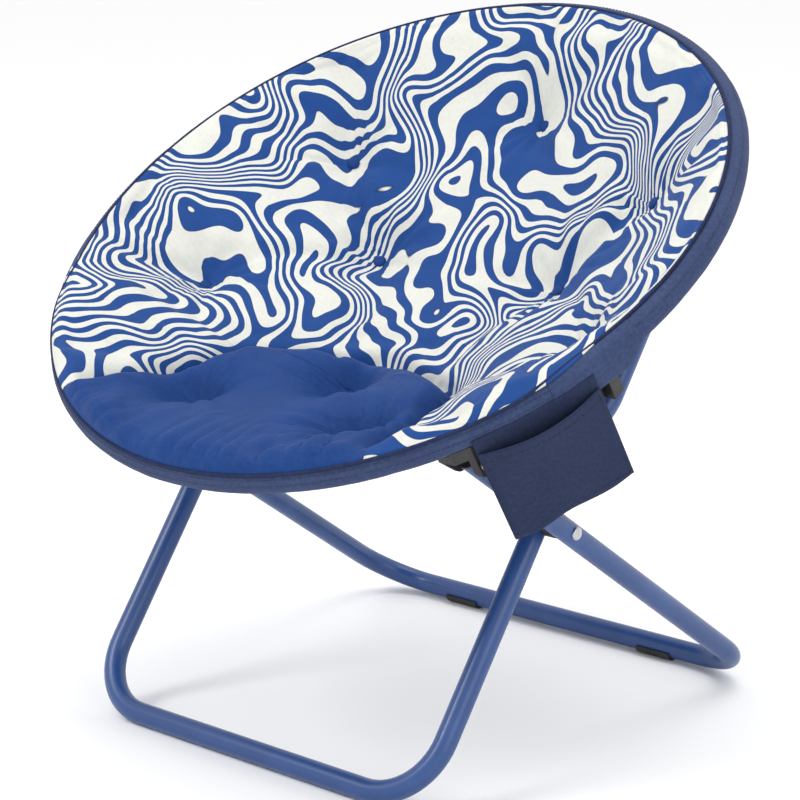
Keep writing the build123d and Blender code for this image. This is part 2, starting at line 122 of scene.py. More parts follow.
def colour_mix(tree, share, first, second, blend="MIX"):
    """Second colour laid over the first by a share, each fixed or linked."""
    made = tree.nodes.new("ShaderNodeMix")
    made.data_type = "RGBA"
    made.blend_type = blend
    put(tree, made.inputs["Factor"], share)
    ends = [socket for socket in made.inputs if socket.type == "RGBA"]
    for socket, colour in zip(ends, (first, second)):
        put(tree, socket, colour)
    return next(socket for socket in made.outputs if socket.type == "RGBA")


def new_group(name, inputs, outputs):
    """Shader node group with its own sockets, each given as a name and a kind."""
    group = bpy.data.node_groups.new(name, "ShaderNodeTree")
    for socket, kind in inputs:
        group.interface.new_socket(name=socket, in_out="INPUT", socket_type=kind)
    for socket, kind in outputs:
        group.interface.new_socket(name=socket, in_out="OUTPUT", socket_type=kind)
    return group, group.nodes.new("NodeGroupInput"), group.nodes.new("NodeGroupOutput")


def put_group(tree, group, **sockets):
    """Place a node group in a material with its own values."""
    made = tree.nodes.new("ShaderNodeGroup")
    made.node_tree = group
    return set_sockets(tree, made, **sockets)


def smudge_group():
    """Uneven patches: broad clouds and small specks, for wear and handling marks."""
    group, start, end = new_group(
        "smudges",
        [("Vector", "NodeSocketVector"), ("Scale", "NodeSocketFloat")],
        [("Cloud", "NodeSocketFloat"), ("Speck", "NodeSocketFloat")],
    )
    place = start.outputs["Vector"]
    scale = start.outputs["Scale"]
    finer = math_node(group, "MULTIPLY", scale, speck_ratio)
    wide = add(group, "ShaderNodeTexNoise", Vector=place, Scale=scale, Detail=3.0)
    small = add(group, "ShaderNodeTexNoise", Vector=place, Scale=finer, Detail=2.0)
    set_sockets(group, end, Cloud=wide.outputs["Fac"], Speck=small.outputs["Fac"])
    return group


smudges = smudge_group()


def coords(tree, kind):
    """Place on the piece, in one kind of coordinates."""
    return tree.nodes.new("ShaderNodeTexCoord").outputs[kind]


def ramp(tree, value, low, high):
    """Stretch a value so that low and high become 0 and 1."""
    made = add(tree, "ShaderNodeMapRange", Value=value, From_Min=low, From_Max=high)
    return made.outputs["Result"]


def bump(tree, height, strength, distance):
    """Normal of a surface with a fine relief."""
    made = add(tree, "ShaderNodeBump", Height=height, Strength=strength, Distance=distance)
    return made.outputs["Normal"]


def hard_finish(name, base, worn, rough, peel, **sockets):
    """Paint, plastic, rubber or steel: a base colour with rubbed patches and a fine grain."""
    material, tree, shader = new_material(name)
    marks = put_group(tree, smudges, Vector=coords(tree, "Object"), Scale=mark_scale)
    rubbed = ramp(tree, marks.outputs["Cloud"], *rub_range)
    uneven = ramp(tree, marks.outputs["Speck"], *speck_range)
    set_sockets(
        tree, shader, **sockets,
        Base_Color=colour_mix(tree, rubbed, base, worn),
        Roughness=math_node(tree, "MULTIPLY_ADD", uneven, rough_spread, rough),
        Normal=bump(tree, marks.outputs["Speck"], peel, grain_height),
    )
    return material


def dress(material, *names):
    """Give CAD nodes their material."""
    for name in names:
        nodes[name].data.materials.clear()
        nodes[name].data.materials.append(material)


frame_paint = hard_finish(
    "frame_paint", paint_blue, paint_rubbed, rough=0.30, peel=0.06,
    Coat_Weight=0.12, Coat_Roughness=0.2,
)
dress(frame_paint, "front_leg_tube", "rear_leg_tube", "front_hoop_tube", "back_hoop_tube")


# Black fittings
# Arm end caps, spacers between the legs, hinge knuckles and clevis brackets.
# They are moulded in black plastic with a fine spark texture, pushed or riveted in place.
plastic_black = (0.012, 0.012, 0.014, 1)
plastic_scuffed = (0.030, 0.030, 0.033, 1)
black_plastic = hard_finish("black_plastic", plastic_black, plastic_scuffed, rough=0.42, peel=0.25)
sides = ("left", "right")
for side in sides:
    dress(
        black_plastic,
        "front_arm_cap_" + side,
        "rear_arm_cap_" + side,
        "pivot_spacer_" + side,
        "front_hinge_knuckle_" + side,
        "back_hinge_knuckle_" + side,
        "front_clevis_" + side,
        "back_clevis_" + side,
    )


# Foot pads
# Two soft pads clip under the rear foot bar and stop it sliding on the floor.
# They are moulded black rubber, dusty where they are handled.
rubber_black = (0.010, 0.010, 0.011, 1)
rubber_dusty = (0.045, 0.044, 0.043, 1)
foot_rubber = hard_finish("foot_rubber", rubber_black, rubber_dusty, rough=0.68, peel=0.35)
dress(foot_rubber, "rear_foot_pad_left", "rear_foot_pad_right")


# Rivets and pins
# Steel rivets at the leg crossing, in the clevis brackets and under the hoop, and the hinge pins.
# They are zinc plated, and the rivets are set with a domed head.
steel_bright = (0.62, 0.63, 0.65, 1)
steel_dull = (0.40, 0.41, 0.43, 1)
rivet_steel = hard_finish("rivet_steel", steel_bright, steel_dull, rough=0.26, peel=0.08, Metallic=1.0)
for side in sides:
    dress(rivet_steel, "pivot_rivet_" + side, "front_clevis_rivet_" + side)
    dress(rivet_steel, "back_clevis_rivets_" + side, "hinge_pin_" + side)
dress(rivet_steel, "front_blind_rivets", "back_blind_rivets")


# Outer sling
# The woven cover that hangs in the hoop as a shallow bowl and carries the padding.
# Plain navy polyester, sewn to the rim sleeve; the front and back halves meet at the fold.
hoop_radius = 0.347
hoop_height = 0.4914
hoop_tilt = math.radians(31.85)
hoop_place = Matrix.Translation((0, 0, hoop_height)) @ Matrix.Rotation(hoop_tilt, 4, "X")
bodies = {"front": "seat_hoop", "back": "back_hoop"}
fold_v = -0.125
pad_edge = 0.333
sling_rim_z = -0.0104
sling_depth = 0.1474
sling_thickness = 0.0014
sling_turn_in = 0.004
sling_rings = 26
sling_steps = 180
ruck_height = 0.0066
ruck_turns = 7
ruck_along = 9
merge_distance = 1e-5
cut_tolerance = 1e-7
navy_dark = (0.026, 0.040, 0.100, 1)
navy_light = (0.050, 0.074, 0.165, 1)
plain_tone = (0.3, 0.75)
cloth_gloss = 0.10
cloth_threads = 4200.0
cloth_wear = 18.0
cloth_relief = 0.35
cloth_relief_height = 0.0012
yarn_scale = 260.0
yarn_share = 0.6
thread_relief = 0.25


def ball_radius(rim_z, depth):
    """Radius of the ball that a bowl of this depth is part of."""
    sag = rim_z + depth
    return (pad_edge**2 + sag**2) / (2 * sag)


def bowl_z(radius, rim_z, depth):
    """Height of a ball-shaped bowl over the hoop plane at a distance from its axis."""
    ball = ball_radius(rim_z, depth)
    return ball - depth - math.sqrt(ball**2 - radius**2)


def weave_group():
    """Plain weave of crossed threads, with thicker and thinner yarns here and there."""
    group, start, end = new_group(
        "plain_weave",
        [("Vector", "NodeSocketVector"), ("Threads", "NodeSocketFloat")],
        [("Height", "NodeSocketFloat"), ("Yarn", "NodeSocketFloat")],
    )
    place = start.outputs["Vector"]
    apart = add(group, "ShaderNodeSeparateXYZ", Vector=place)
    waves = []
    for axis in ("X", "Y"):
        turns = math_node(group, "MULTIPLY", apart.outputs[axis], start.outputs["Threads"])
        waves.append(math_node(group, "SINE", turns))
    yarn = add(group, "ShaderNodeTexNoise", Vector=place, Scale=yarn_scale, Detail=2.0)
    set_sockets(group, end, Height=math_node(group, "MULTIPLY", *waves), Yarn=yarn.outputs["Fac"])
    return group


plain_weave = weave_group()


def two_tone(dark, light):
    """Colour of a plain cloth, between two shades of yarn."""
    def shade(tree, tone):
        return colour_mix(tree, ramp(tree, tone, *plain_tone), dark, light)
    return shade


def cloth_finish(name, colour, rough, crease, **sockets):
    """Woven cloth on the piece's own UV map: yarn tones, soft creases and a weave."""
    material, tree, shader = new_material(name)
    place = coords(tree, "UV")
    threads = put_group(tree, plain_weave, Vector=place, Threads=cloth_threads)
    cloud = put_group(tree, smudges, Vector=place, Scale=cloth_wear).outputs["Cloud"]
    faded = math_node(tree, "MULTIPLY", cloud, 1 - yarn_share)
    tone = math_node(tree, "MULTIPLY_ADD", threads.outputs["Yarn"], yarn_share, faded)
    fine = math_node(tree, "MULTIPLY", threads.outputs["Height"], thread_relief)
    height = math_node(tree, "MULTIPLY_ADD", cloud, crease, fine)
    set_sockets(
        tree, shader, **sockets,
        Base_Color=colour(tree, tone),
        Roughness=rough,
        Specular_IOR_Level=cloth_gloss,
        Normal=bump(tree, height, cloth_relief, cloth_relief_height),
    )
    return material


navy_cloth = cloth_finish(
    "navy_cloth", two_tone(navy_dark, navy_light), rough=0.78, crease=2.0,
    Sheen_Weight=0.06, Sheen_Roughness=0.5,
)


def lay_uv(bm, where):
    """UV map in metres, from a function of a point in the piece's own plane."""
    layer = bm.loops.layers.uv.verify()
    for face in bm.faces:
        for loop in face.loops:
            loop[layer].uv = where(loop.vert.co)


def flat_uv(point):
    """Map of a piece seen along the hoop's axis."""
    return point.x, point.y


def finish_piece(name, bm, body, material, place=hoop_place):
    """Turn a mesh into a smooth piece of the chair, put in place and riding on a body if one is given."""
    bm.transform(place)
    mesh = bpy.data.meshes.new(name)
    bm.to_mesh(mesh)
    bm.free()
    mesh.shade_smooth()
    mesh.materials.append(material)
    made = bpy.data.objects.new(name, mesh)
    bpy.context.scene.collection.objects.link(made)
    if body:
        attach(made, body)
    return made


def cut(bm, point, normal):
    """Cut a mesh by a plane, keep the side that the normal points to and return the cut edges."""
    found = bmesh.ops.bisect_plane(
        bm, geom=bm.verts[:] + bm.edges[:] + bm.faces[:], plane_co=point, plane_no=normal,
        clear_inner=True, dist=cut_tolerance,
    )
    return [part for part in found["geom_cut"] if isinstance(part, bmesh.types.BMEdge)]


def thicken(piece, thickness, offset):
    """Give a sheet its cloth thickness."""
    made = piece.modifiers.new("cloth", "SOLIDIFY")
    made.thickness = thickness
    made.offset = offset


def sling_bowl():
    """Bowl spun from its profile, with slight pulls towards the rim."""
    bm = bmesh.new()
    rim_radius = pad_edge + sling_turn_in
    profile = []
    for k in range(sling_rings + 1):
        radius = rim_radius * k / sling_rings
        height = bowl_z(min(radius, pad_edge), sling_rim_z, sling_depth)
        profile.append(bm.verts.new((radius, 0, height)))
    for first, second in zip(profile, profile[1:]):
        bm.edges.new((first, second))
    bmesh.ops.spin(
        bm, geom=bm.verts[:] + bm.edges[:], axis=(0, 0, 1), cent=(0, 0, 0),
        angle=math.tau, steps=sling_steps, use_merge=True,
    )
    bmesh.ops.remove_doubles(bm, verts=bm.verts[:], dist=merge_distance)
    bmesh.ops.recalc_face_normals(bm, faces=bm.faces[:])
    for vert in bm.verts:
        angle = math.atan2(vert.co.y, vert.co.x)
        radius = vert.co.xy.length
        share = radius / rim_radius
        turn = (math.cos(angle) * ruck_turns, math.sin(angle) * ruck_turns)
        wave = noise.noise((*turn, radius * ruck_along))
        vert.co.z -= ruck_height * share**3 * (1 - share) * wave
    return bm


def face_towards(bm, direction, faces):
    """Turn an open sheet over where these faces of it point away from a direction."""
    if sum(face.normal.dot(direction) * face.calc_area() for face in faces) < 0:
        bmesh.ops.reverse_faces(bm, faces=bm.faces[:])


for half, way in (("back", 1), ("front", -1)):
    bm = sling_bowl()
    cut(bm, (0, fold_v, 0), (0, way, 0))
    face_towards(bm, Vector((0, 0, -1)), bm.faces)
    lay_uv(bm, flat_uv)
    side_length = math.sqrt(sum(face.calc_area() for face in bm.faces))
    sling = finish_piece(half + "_sling_cloth", bm, bodies[half], navy_cloth)
    thicken(sling, sling_thickness, 1)
    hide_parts(half + "_sling")
    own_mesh(sling)


# Rim sleeves
# A tunnel of the navy cloth round each hoop tube, turned in under the rim and stitched down.
# Over each fold hinge a loose cuff of the same cloth joins the two halves and bends with them.
sleeve_radius = 0.0129
sleeve_thickness = 0.0011
sleeve_sides = 28
sleeve_step = 0.006
cloth_slack = 0.0005
slack_waves = ((9, 0.9, 3.0, 1.0), (40, 1.6, 7.0, 0.5))
hinge_set_back = 0.040
cuff_overlap = math.radians(0.7)
cuff_radius = 0.0137
cuff_skirt = 0.019
cuff_hem = 0.006
cuff_fit = 0.0005
cuff_end_skirt = 0.3
cuff_ease = 0.22
cuff_crown = 0.010
cuff_step = 0.003
cuff_skirt_steps = 6
cuff_arch_steps = 16
cuff_hem_steps = 2
front_end_angle = math.asin((fold_v - hinge_set_back) / hoop_radius)
back_end_angle = math.asin((fold_v + hinge_set_back) / hoop_radius)
arcs = {
    "front": (math.pi - front_end_angle, math.pi + 2 * front_end_angle),
    "back": (back_end_angle, math.pi - 2 * back_end_angle),
}
cuff_sweep = back_end_angle - front_end_angle + 2 * cuff_overlap
cuff_arcs = {
    "right": (front_end_angle - cuff_overlap, cuff_sweep),
    "left": (math.pi - back_end_angle - cuff_overlap, cuff_sweep),
}
bend_start = hoop_place @ Vector((0, fold_v - hinge_set_back, 0))
bend_end = hoop_place @ Vector((0, fold_v + hinge_set_back, 0))


def arc_strip(section, start, sweep, step, closed=True):
    """Sweep a section of (radial, height) points along the hoop."""
    bm = bmesh.new()
    ring = [bm.verts.new((hoop_radius + x, 0, z)) for x, z in section]
    pairs = list(zip(ring, ring[1:])) + ([(ring[-1], ring[0])] if closed else [])
    edges = [bm.edges.new(pair) for pair in pairs]
    bmesh.ops.rotate(bm, verts=ring, cent=(0, 0, 0), matrix=Matrix.Rotation(start, 3, "Z"))
    steps = max(3, round(sweep * hoop_radius / step))
    bmesh.ops.spin(
        bm, geom=ring + edges, axis=(0, 0, 1), cent=(0, 0, 0), angle=sweep, steps=steps,
    )
    bmesh.ops.recalc_face_normals(bm, faces=bm.faces[:])
    return bm


def round_section(radius, count):
    """Points of a round section."""
    turns = [math.tau * k / count for k in range(count)]
    return [(radius * math.cos(turn), radius * math.sin(turn)) for turn in turns]


def cuff_section():
    """Points of a cuff's section: the outer skirt, the arch over the tube and the inner hem."""
    drops = [cuff_skirt * (cuff_skirt_steps - k) / cuff_skirt_steps for k in range(cuff_skirt_steps)]
    skirt = [(cuff_radius, -drop) for drop in drops]
    turns = [math.pi * k / cuff_arch_steps for k in range(cuff_arch_steps + 1)]
    arch = [(cuff_radius * math.cos(turn), cuff_radius * math.sin(turn)) for turn in turns]
    hem = [(-cuff_radius, -cuff_hem * (k + 1) / cuff_hem_steps) for k in range(cuff_hem_steps)]
    return skirt + arch + hem


def outwards(angle):
    """Direction away from the hoop's axis."""
    return Vector((math.cos(angle), math.sin(angle), 0))


def sleeve_uv(point):
    """Map of a sleeve: along the hoop and round the tube."""
    angle = math.atan2(point.y, point.x)
    around = math.atan2(point.z, point.xy.length - hoop_radius)
    return angle * hoop_radius, around * sleeve_radius


def slacken(bm):
    """Small uneven slack of cloth drawn over a tube."""
    for vert in bm.verts:
        angle = math.atan2(vert.co.y, vert.co.x)
        middle = outwards(angle) * hoop_radius
        out = (vert.co - middle).normalized()
        around = math.atan2(out.z, out.xy.dot(middle.xy.normalized()))
        slack = sum(
            share * noise.noise((angle * along, around * about, seed))
            for along, about, seed, share in slack_waves
        )
        vert.co += out * cloth_slack * slack


def smooth_step(share):
    """Ease from 0 to 1, level at both ends."""
    share = max(0.0, min(1.0, share))
    return share * share * (3 - 2 * share)


def draw_in(bm, start, sweep):
    """Let the ends of a cuff lie close on the sleeve, with its skirt drawn up."""
    close = (sleeve_radius + cuff_fit) / cuff_radius
    for vert in bm.verts:
        angle = math.atan2(vert.co.y, vert.co.x)
        share = (angle - start) % math.tau / sweep
        loose = smooth_step(min(share, 1 - share) / cuff_ease)
        tight = close + (1 - close) * loose
        reach = hoop_radius + (vert.co.xy.length - hoop_radius) * tight
        lift = tight if vert.co.z > 0 else cuff_end_skirt + (1 - cuff_end_skirt) * loose
        vert.co = outwards(angle) * reach + Vector((0, 0, vert.co.z * lift))


def bend_over_hinge(name, bm, material):
    """Piece of cloth that crosses the fold and bends from one half of the hoop to the other."""
    piece = finish_piece(name, bm, None, material)
    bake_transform(piece, "seat_hoop", "back_hoop", start=bend_start, end=bend_end)
    return piece


for half, (start, sweep) in arcs.items():
    bm = arc_strip(round_section(sleeve_radius, sleeve_sides), start, sweep, sleeve_step)
    slacken(bm)
    lay_uv(bm, sleeve_uv)
    sleeve = finish_piece(half + "_rim_sleeve_cloth", bm, bodies[half], navy_cloth)
    thicken(sleeve, sleeve_thickness, -1)
    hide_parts(half + "_rim_sleeve")
for side, (start, sweep) in cuff_arcs.items():
    bm = arc_strip(cuff_section(), start, sweep, cuff_step, closed=False)
    slacken(bm)
    draw_in(bm, start, sweep)
    crown = [face for face in bm.faces if face.calc_center_median().z > cuff_crown]
    face_towards(bm, Vector((0, 0, 1)), crown)
    lay_uv(bm, sleeve_uv)
    cuff = bend_over_hinge("hinge_cuff_" + side, bm, navy_cloth)
    thicken(cuff, sleeve_thickness, -1)


# Sleeve stitching
# Runs of navy thread that hold the turned edge of the sleeve, seen as fine dark lines along the rim.
# One stitch every few millimetres, sunk a little into the cloth.
stitch_pitch = 0.0046
stitch_length = 0.0036
stitch_radius = 0.00034
stitch_proud = 0.0001
seam_lines = {"front": (38, 12), "back": (42,)}
thread_dark = (0.010, 0.014, 0.040, 1)
thread_light = (0.022, 0.032, 0.075, 1)
sewing_thread = hard_finish("sewing_thread", thread_dark, thread_light, rough=0.6, peel=0.2)


def add_stitch(bm, place, along):
    """One stitch: a small spindle laid along the seam."""
    turn = along.to_track_quat("Z", "Y").to_matrix().to_4x4()
    size = Matrix.Diagonal((stitch_radius, stitch_radius, stitch_length / 2, 1))
    bmesh.ops.create_uvsphere(
        bm, u_segments=6, v_segments=4, radius=1, matrix=Matrix.Translation(place) @ turn @ size,
    )


for half, (start, sweep) in arcs.items():
    bm = bmesh.new()
    reach = sleeve_radius + stitch_proud
    count = int(sweep * hoop_radius / stitch_pitch)
    for rise in (math.radians(line) for line in seam_lines[half]):
        height = Vector((0, 0, reach * math.sin(rise)))
        for k in range(1, count):
            angle = start + sweep * k / count
            place = outwards(angle) * (hoop_radius + reach * math.cos(rise)) + height
            add_stitch(bm, place, Vector((-math.sin(angle), math.cos(angle), 0)))
    finish_piece(half + "_sleeve_stitches", bm, bodies[half], sewing_thread)


# Padding
# One quilted mattress of fibre fill between two layers of cotton, drawn down by tufts.
# The middle of the seat is plain blue, the rest is printed; it is split at the fold of the hoop.
pad_rim_z = 0.006
pad_depth = 0.130
pad_base_rim_z = -0.008
pad_base_depth = 0.145
pad_least = 0.0015
lip_radius = 0.0152
lip_inside = 0.0136
lip_overlap = math.radians(6)
lip_start = 0.965
top_edge_turn = math.radians(98)
front_edge_turn = math.radians(58)
front_edge_reach = math.radians(62)
front_edge_ease = math.radians(16)
tuft_depth = 0.011
tuft_reach = 0.020
tuft_hold = 0.006
tuft_pull = 0.032
tuft_rings = ((0.250, 90, 7), (0.135, 30, 3))
tufts = [
    Vector((radius * math.cos(angle), radius * math.sin(angle)))
    for radius, first, count in tuft_rings
    for angle in (math.radians(first + 360 * k / count) for k in range(count))
]
seat_tuft_share = 0.35
seam_reach = 0.012
seam_depth = 0.005
seam_hold = 0.0032
seam_pull = 0.011
edge_pull = 0.011
edge_slope = 0.080
edge_share = 0.36
edge_hold = 0.004
seat_puff = 0.037
side_puff = 0.022
back_puff = 0.013
seat_corner = Vector((0.134, fold_v))
seat_rim_corner = Vector((0.190, -0.290))
seat_side_run = seat_rim_corner - seat_corner
seat_rear_v = -0.080
seat_rear_rise = seat_rear_v - seat_corner.y
seat_arc_radius = (seat_corner.x**2 + seat_rear_rise**2) / (2 * seat_rear_rise)
seat_arc_middle = Vector((0, seat_rear_v - seat_arc_radius))
crease_reach = 0.11
crease_peak = 0.032
crease_spokes = 2.2
crease_spread = 40
crease_along = 6
crease_level = 0.32
seat_crease = 0.0105
print_crease = 0.0095
gather_reach = 0.055
gather_turns = 14
gather_along = 5
gather_level = 0.28
seat_gather = 0.0140
print_gather = 0.0045
pucker_fade = 0.012
upper_least = 0.99
seat_blue_dark = (0.0072, 0.036, 0.155, 1)
seat_blue_light = (0.0120, 0.053, 0.212, 1)
print_cream = (0.690, 0.695, 0.640, 1)
print_blue = (0.012, 0.060, 0.240, 1)
print_navy = (0.010, 0.030, 0.120, 1)
print_tone = (0.2, 0.8)
print_wear = 0.16
print_edges = (
    (0.430, print_cream),
    (0.442, print_navy),
    (0.458, print_blue),
    (0.930, print_blue),
    (0.946, print_navy),
    (0.958, print_cream),
)
warp_scale = 8.5
warp_reach = (0.20, 0.20, 0.0)
swirl_scale = 5.5
ripple_scale = 13.0
stripe_drift = 34.0
stripe_rings = 24.0
stripe_ripple = 3.0


def distance_to_line(point, first, second):
    """Distance to a straight line between two places."""
    run = second - first
    share = max(0.0, min(1.0, (point - first).dot(run) / run.length_squared))
    return (point - first - run * share).length


def seat_seam_distance(point):
    """Distance to the sewn outline of the plain blue seat: straight sides and a round rear."""
    side = distance_to_line(Vector((abs(point.x), point.y)), seat_corner, seat_rim_corner)
    if point.y < fold_v:
        return side
    return min(side, abs((point - seat_arc_middle).length - seat_arc_radius))


def in_seat(point):
    """Whether a place lies in the plain blue seat."""
    if point.y > fold_v:
        return (point - seat_arc_middle).length < seat_arc_radius
    return abs(point.x) < seat_corner.x + seat_side_run.x * (point.y - seat_corner.y) / seat_side_run.y


def edge_turn(angle):
    """Where the cover is sewn to the sleeve: on top of the tube, and further out at the front."""
    aside = abs((angle + math.pi / 2 + math.pi) % math.tau - math.pi)
    share = smooth_step((front_edge_reach - aside) / front_edge_ease + 0.5)
    return top_edge_turn + (front_edge_turn - top_edge_turn) * share


def lip_edge(angle):
    """Distance from the hoop's axis to the sewn edge of the cover."""
    return hoop_radius + lip_radius * math.cos(edge_turn(angle) + lip_overlap)


def pad_top(radius):
    """Height of the pad's upper face, which climbs over the inner side of the rim sleeve."""
    if radius <= pad_edge:
        return bowl_z(radius, pad_rim_z, pad_depth)
    return math.sqrt(lip_radius**2 - (hoop_radius - radius) ** 2)


def pad_base(radius):
    """Height of the pad's lower face."""
    if radius <= pad_edge:
        return bowl_z(radius, pad_base_rim_z, pad_base_depth)
    return math.sqrt(max(lip_inside**2 - (hoop_radius - radius) ** 2, 0.0))


def fall_off(distance, reach):
    """Bell curve: one on the spot, nothing far away."""
    return math.exp(-((distance / reach) ** 2))


def edge_distance(point):
    """Distance to the sewn edge of the cover."""
    return max(lip_edge(math.atan2(point.y, point.x)) - point.length, 0.0)


def puff_height(point):
    """How far the filling can rise: most in the seat and least in the back."""
    if in_seat(point):
        return seat_puff
    return side_puff if point.y < fold_v else back_puff


def pillow(point, tuft, seam):
    """How high the filling stands between the tufts, the seams and the sewn edge."""
    edge = edge_distance(point)
    slope = edge_share + (1 - edge_share) * smooth_step(edge / edge_slope)
    free = (1 - fall_off(tuft, tuft_pull)) * (1 - fall_off(seam, seam_pull))
    return puff_height(point) * free * slope * (1 - fall_off(edge, edge_pull))


def pad_block(cells=104):
    """Closed mattress: a square grid pulled into a disc, dished and extruded down."""
    bm = bmesh.new()
    bmesh.ops.create_grid(bm, x_segments=cells, y_segments=cells, size=1)
    for vert in bm.verts:
        x, y = vert.co.x, vert.co.y
        disc = Vector((x * math.sqrt(1 - y * y / 2), y * math.sqrt(1 - x * x / 2)))
        across = min(disc.length / lip_start, 1.0) * pad_edge
        if disc.length > lip_start:
            lip = (disc.length - lip_start) / (1 - lip_start)
            across += lip * (lip_edge(math.atan2(y, x)) - pad_edge)
        vert.co.xy = disc.normalized() * across
    held = set()
    upper = bm.verts.layers.float.new("upper")
    for vert in bm.verts:
        point = vert.co.xy
        tuft = min((point - middle).length for middle in tufts)
        seam = seat_seam_distance(point)
        pull = tuft_depth * (seat_tuft_share if in_seat(point) else 1)
        swell = pillow(point, tuft, seam) - pull * fall_off(tuft, tuft_reach)
        vert.co.z = pad_top(point.length) + swell
        if point.length < pad_edge:
            vert.co.z -= seam_depth * fall_off(seam, seam_reach)
        if tuft < tuft_hold or seam < seam_hold or edge_distance(point) < edge_hold:
            held.add(vert.index)
        vert[upper] = 1.0
    tops = len(bm.verts)
    made = bmesh.ops.extrude_face_region(bm, geom=bm.faces[:])
    for vert in (part for part in made["geom"] if isinstance(part, bmesh.types.BMVert)):
        vert.co.z = pad_base(vert.co.xy.length)
        vert[upper] = 0.0
    bm.verts.index_update()
    held.update(range(tops, len(bm.verts)))
    bmesh.ops.recalc_face_normals(bm, faces=bm.faces[:])
    return bm, held


def stuffed(bm, held, frames=16, pressure=2.5, most=0.006, passes=3):
    """Fill the mattress by a short cloth run under pressure, with tufts, seams and rim held."""
    mesh = bpy.data.meshes.new("mattress")
    bm.to_mesh(mesh)
    start = [vert.co.copy() for vert in mesh.vertices]
    work = bpy.data.objects.new("mattress", mesh)
    bpy.context.scene.collection.objects.link(work)
    work.vertex_groups.new(name="held").add(sorted(held), 1.0, "REPLACE")
    cloth = work.modifiers.new("stuffing", "CLOTH")
    settings = cloth.settings
    settings.quality = 5
    settings.mass = 0.1
    settings.tension_stiffness = 15
    settings.compression_stiffness = 15
    settings.shear_stiffness = 5
    settings.bending_stiffness = 0.5
    settings.vertex_group_mass = "held"
    settings.use_pressure = True
    settings.uniform_pressure_force = pressure
    settings.shrink_min = -0.03
    settings.effector_weights.gravity = 0
    cloth.point_cache.frame_start = 1
    cloth.point_cache.frame_end = frames
    for step in range(1, frames + 1):
        bpy.context.scene.frame_set(step)
    finished = work.evaluated_get(bpy.context.evaluated_depsgraph_get())
    filled = bpy.data.meshes.new_from_object(finished)
    bpy.context.scene.frame_set(1)
    bpy.data.objects.remove(work)
    bm.free()
    bm = bmesh.new()
    bm.from_mesh(filled)
    for vert, origin in zip(bm.verts, start):
        move = vert.co - origin
        if move.length > most:
            vert.co = origin + move.normalized() * most
    loose = [vert for vert in bm.verts if vert.index not in held]
    for _ in range(passes):
        bmesh.ops.smooth_vert(
            bm, verts=loose, factor=0.5, use_axis_x=True, use_axis_y=True, use_axis_z=True,
        )
    return bm


def ridge(x, y, z):
    """Soft pillows parted by narrow creases."""
    return abs(noise.noise((x, y, z)))


def tuft_creases(point):
    """Depth of the creases that run out from the tufts near a place, as a share."""
    depth = 0.0
    for middle in tufts:
        away = point - middle
        if away.length < crease_reach:
            spoke = away.normalized() * crease_spokes + middle * crease_spread
            fold = ridge(spoke.x, spoke.y, away.length * crease_along)
            near = away.length / crease_peak
            depth += near * math.exp(1 - near) * (crease_level - fold)
    return depth


def rim_gathers(point):
    """Depth of the gathers along the sewn rim at a place, as a share."""
    turn = outwards(math.atan2(point.y, point.x)) * gather_turns
    gather = ridge(turn.x, turn.y, point.length * gather_along)
    return fall_off(edge_distance(point), gather_reach) * (gather_level - gather)


def upper_points(bm):
    """Points of the mattress's upper face."""
    upper = bm.verts.layers.float["upper"]
    return [vert for vert in bm.verts if vert[upper] > upper_least]


def pucker(bm):
    """Creases that run out from every tuft, and gathers where the cover is sewn to the rim."""
    for vert in upper_points(bm):
        point = vert.co.xy
        plain = in_seat(point)
        depth = tuft_creases(point) * (seat_crease if plain else print_crease)
        depth += rim_gathers(point) * (seat_gather if plain else print_gather)
        fade = min(1.0, edge_distance(point) / pucker_fade, seat_seam_distance(point) / pucker_fade)
        vert.co.z = max(vert.co.z - depth * fade, pad_base(point.length) + pad_least)


mattress, held_points = pad_block()
mattress = stuffed(mattress, held_points)
bmesh.ops.subdivide_edges(mattress, edges=mattress.edges[:], cuts=1, use_grid_fill=True, smooth=0.6)
pucker(mattress)
cover = upper_points(mattress)


def cover_height(point):
    """Height of the finished cover at a place."""
    return min(cover, key=lambda vert: (vert.co.xy - point).length_squared).co.z


tuft_floors = [cover_height(middle) for middle in tufts]


def swirl_print(tree, tone):
    """Generic marbled stripes: wavy bands of blue and cream that bunch up and spread out."""
    place = coords(tree, "UV")
    warp = add(tree, "ShaderNodeTexNoise", Vector=place, Scale=warp_scale, Detail=1.0, Roughness=0.4)
    shifted = vector_node(tree, "MULTIPLY_ADD", "Vector", warp.outputs["Color"], warp_reach, place)
    field = add(tree, "ShaderNodeTexNoise", Vector=shifted, Scale=swirl_scale, Detail=0.6)
    ripple = add(tree, "ShaderNodeTexNoise", Vector=shifted, Scale=ripple_scale, Detail=0.0)
    apart = add(tree, "ShaderNodeSeparateXYZ", Vector=shifted)
    drift = math_node(tree, "MULTIPLY", apart.outputs["X"], stripe_drift)
    rings = math_node(tree, "MULTIPLY_ADD", field.outputs["Fac"], stripe_rings, drift)
    phase = math_node(tree, "MULTIPLY_ADD", ripple.outputs["Fac"], stripe_ripple, rings)
    bands = add(tree, "ShaderNodeValToRGB", Fac=math_node(tree, "FRACT", phase))
    stops = bands.color_ramp.elements
    for stop in stops:
        stop.color = print_cream
    for position, colour in print_edges:
        stops.new(position).color = colour
    worn = ramp(tree, tone, *print_tone)
    return colour_mix(tree, print_wear, bands.outputs["Color"], worn, blend="MULTIPLY")


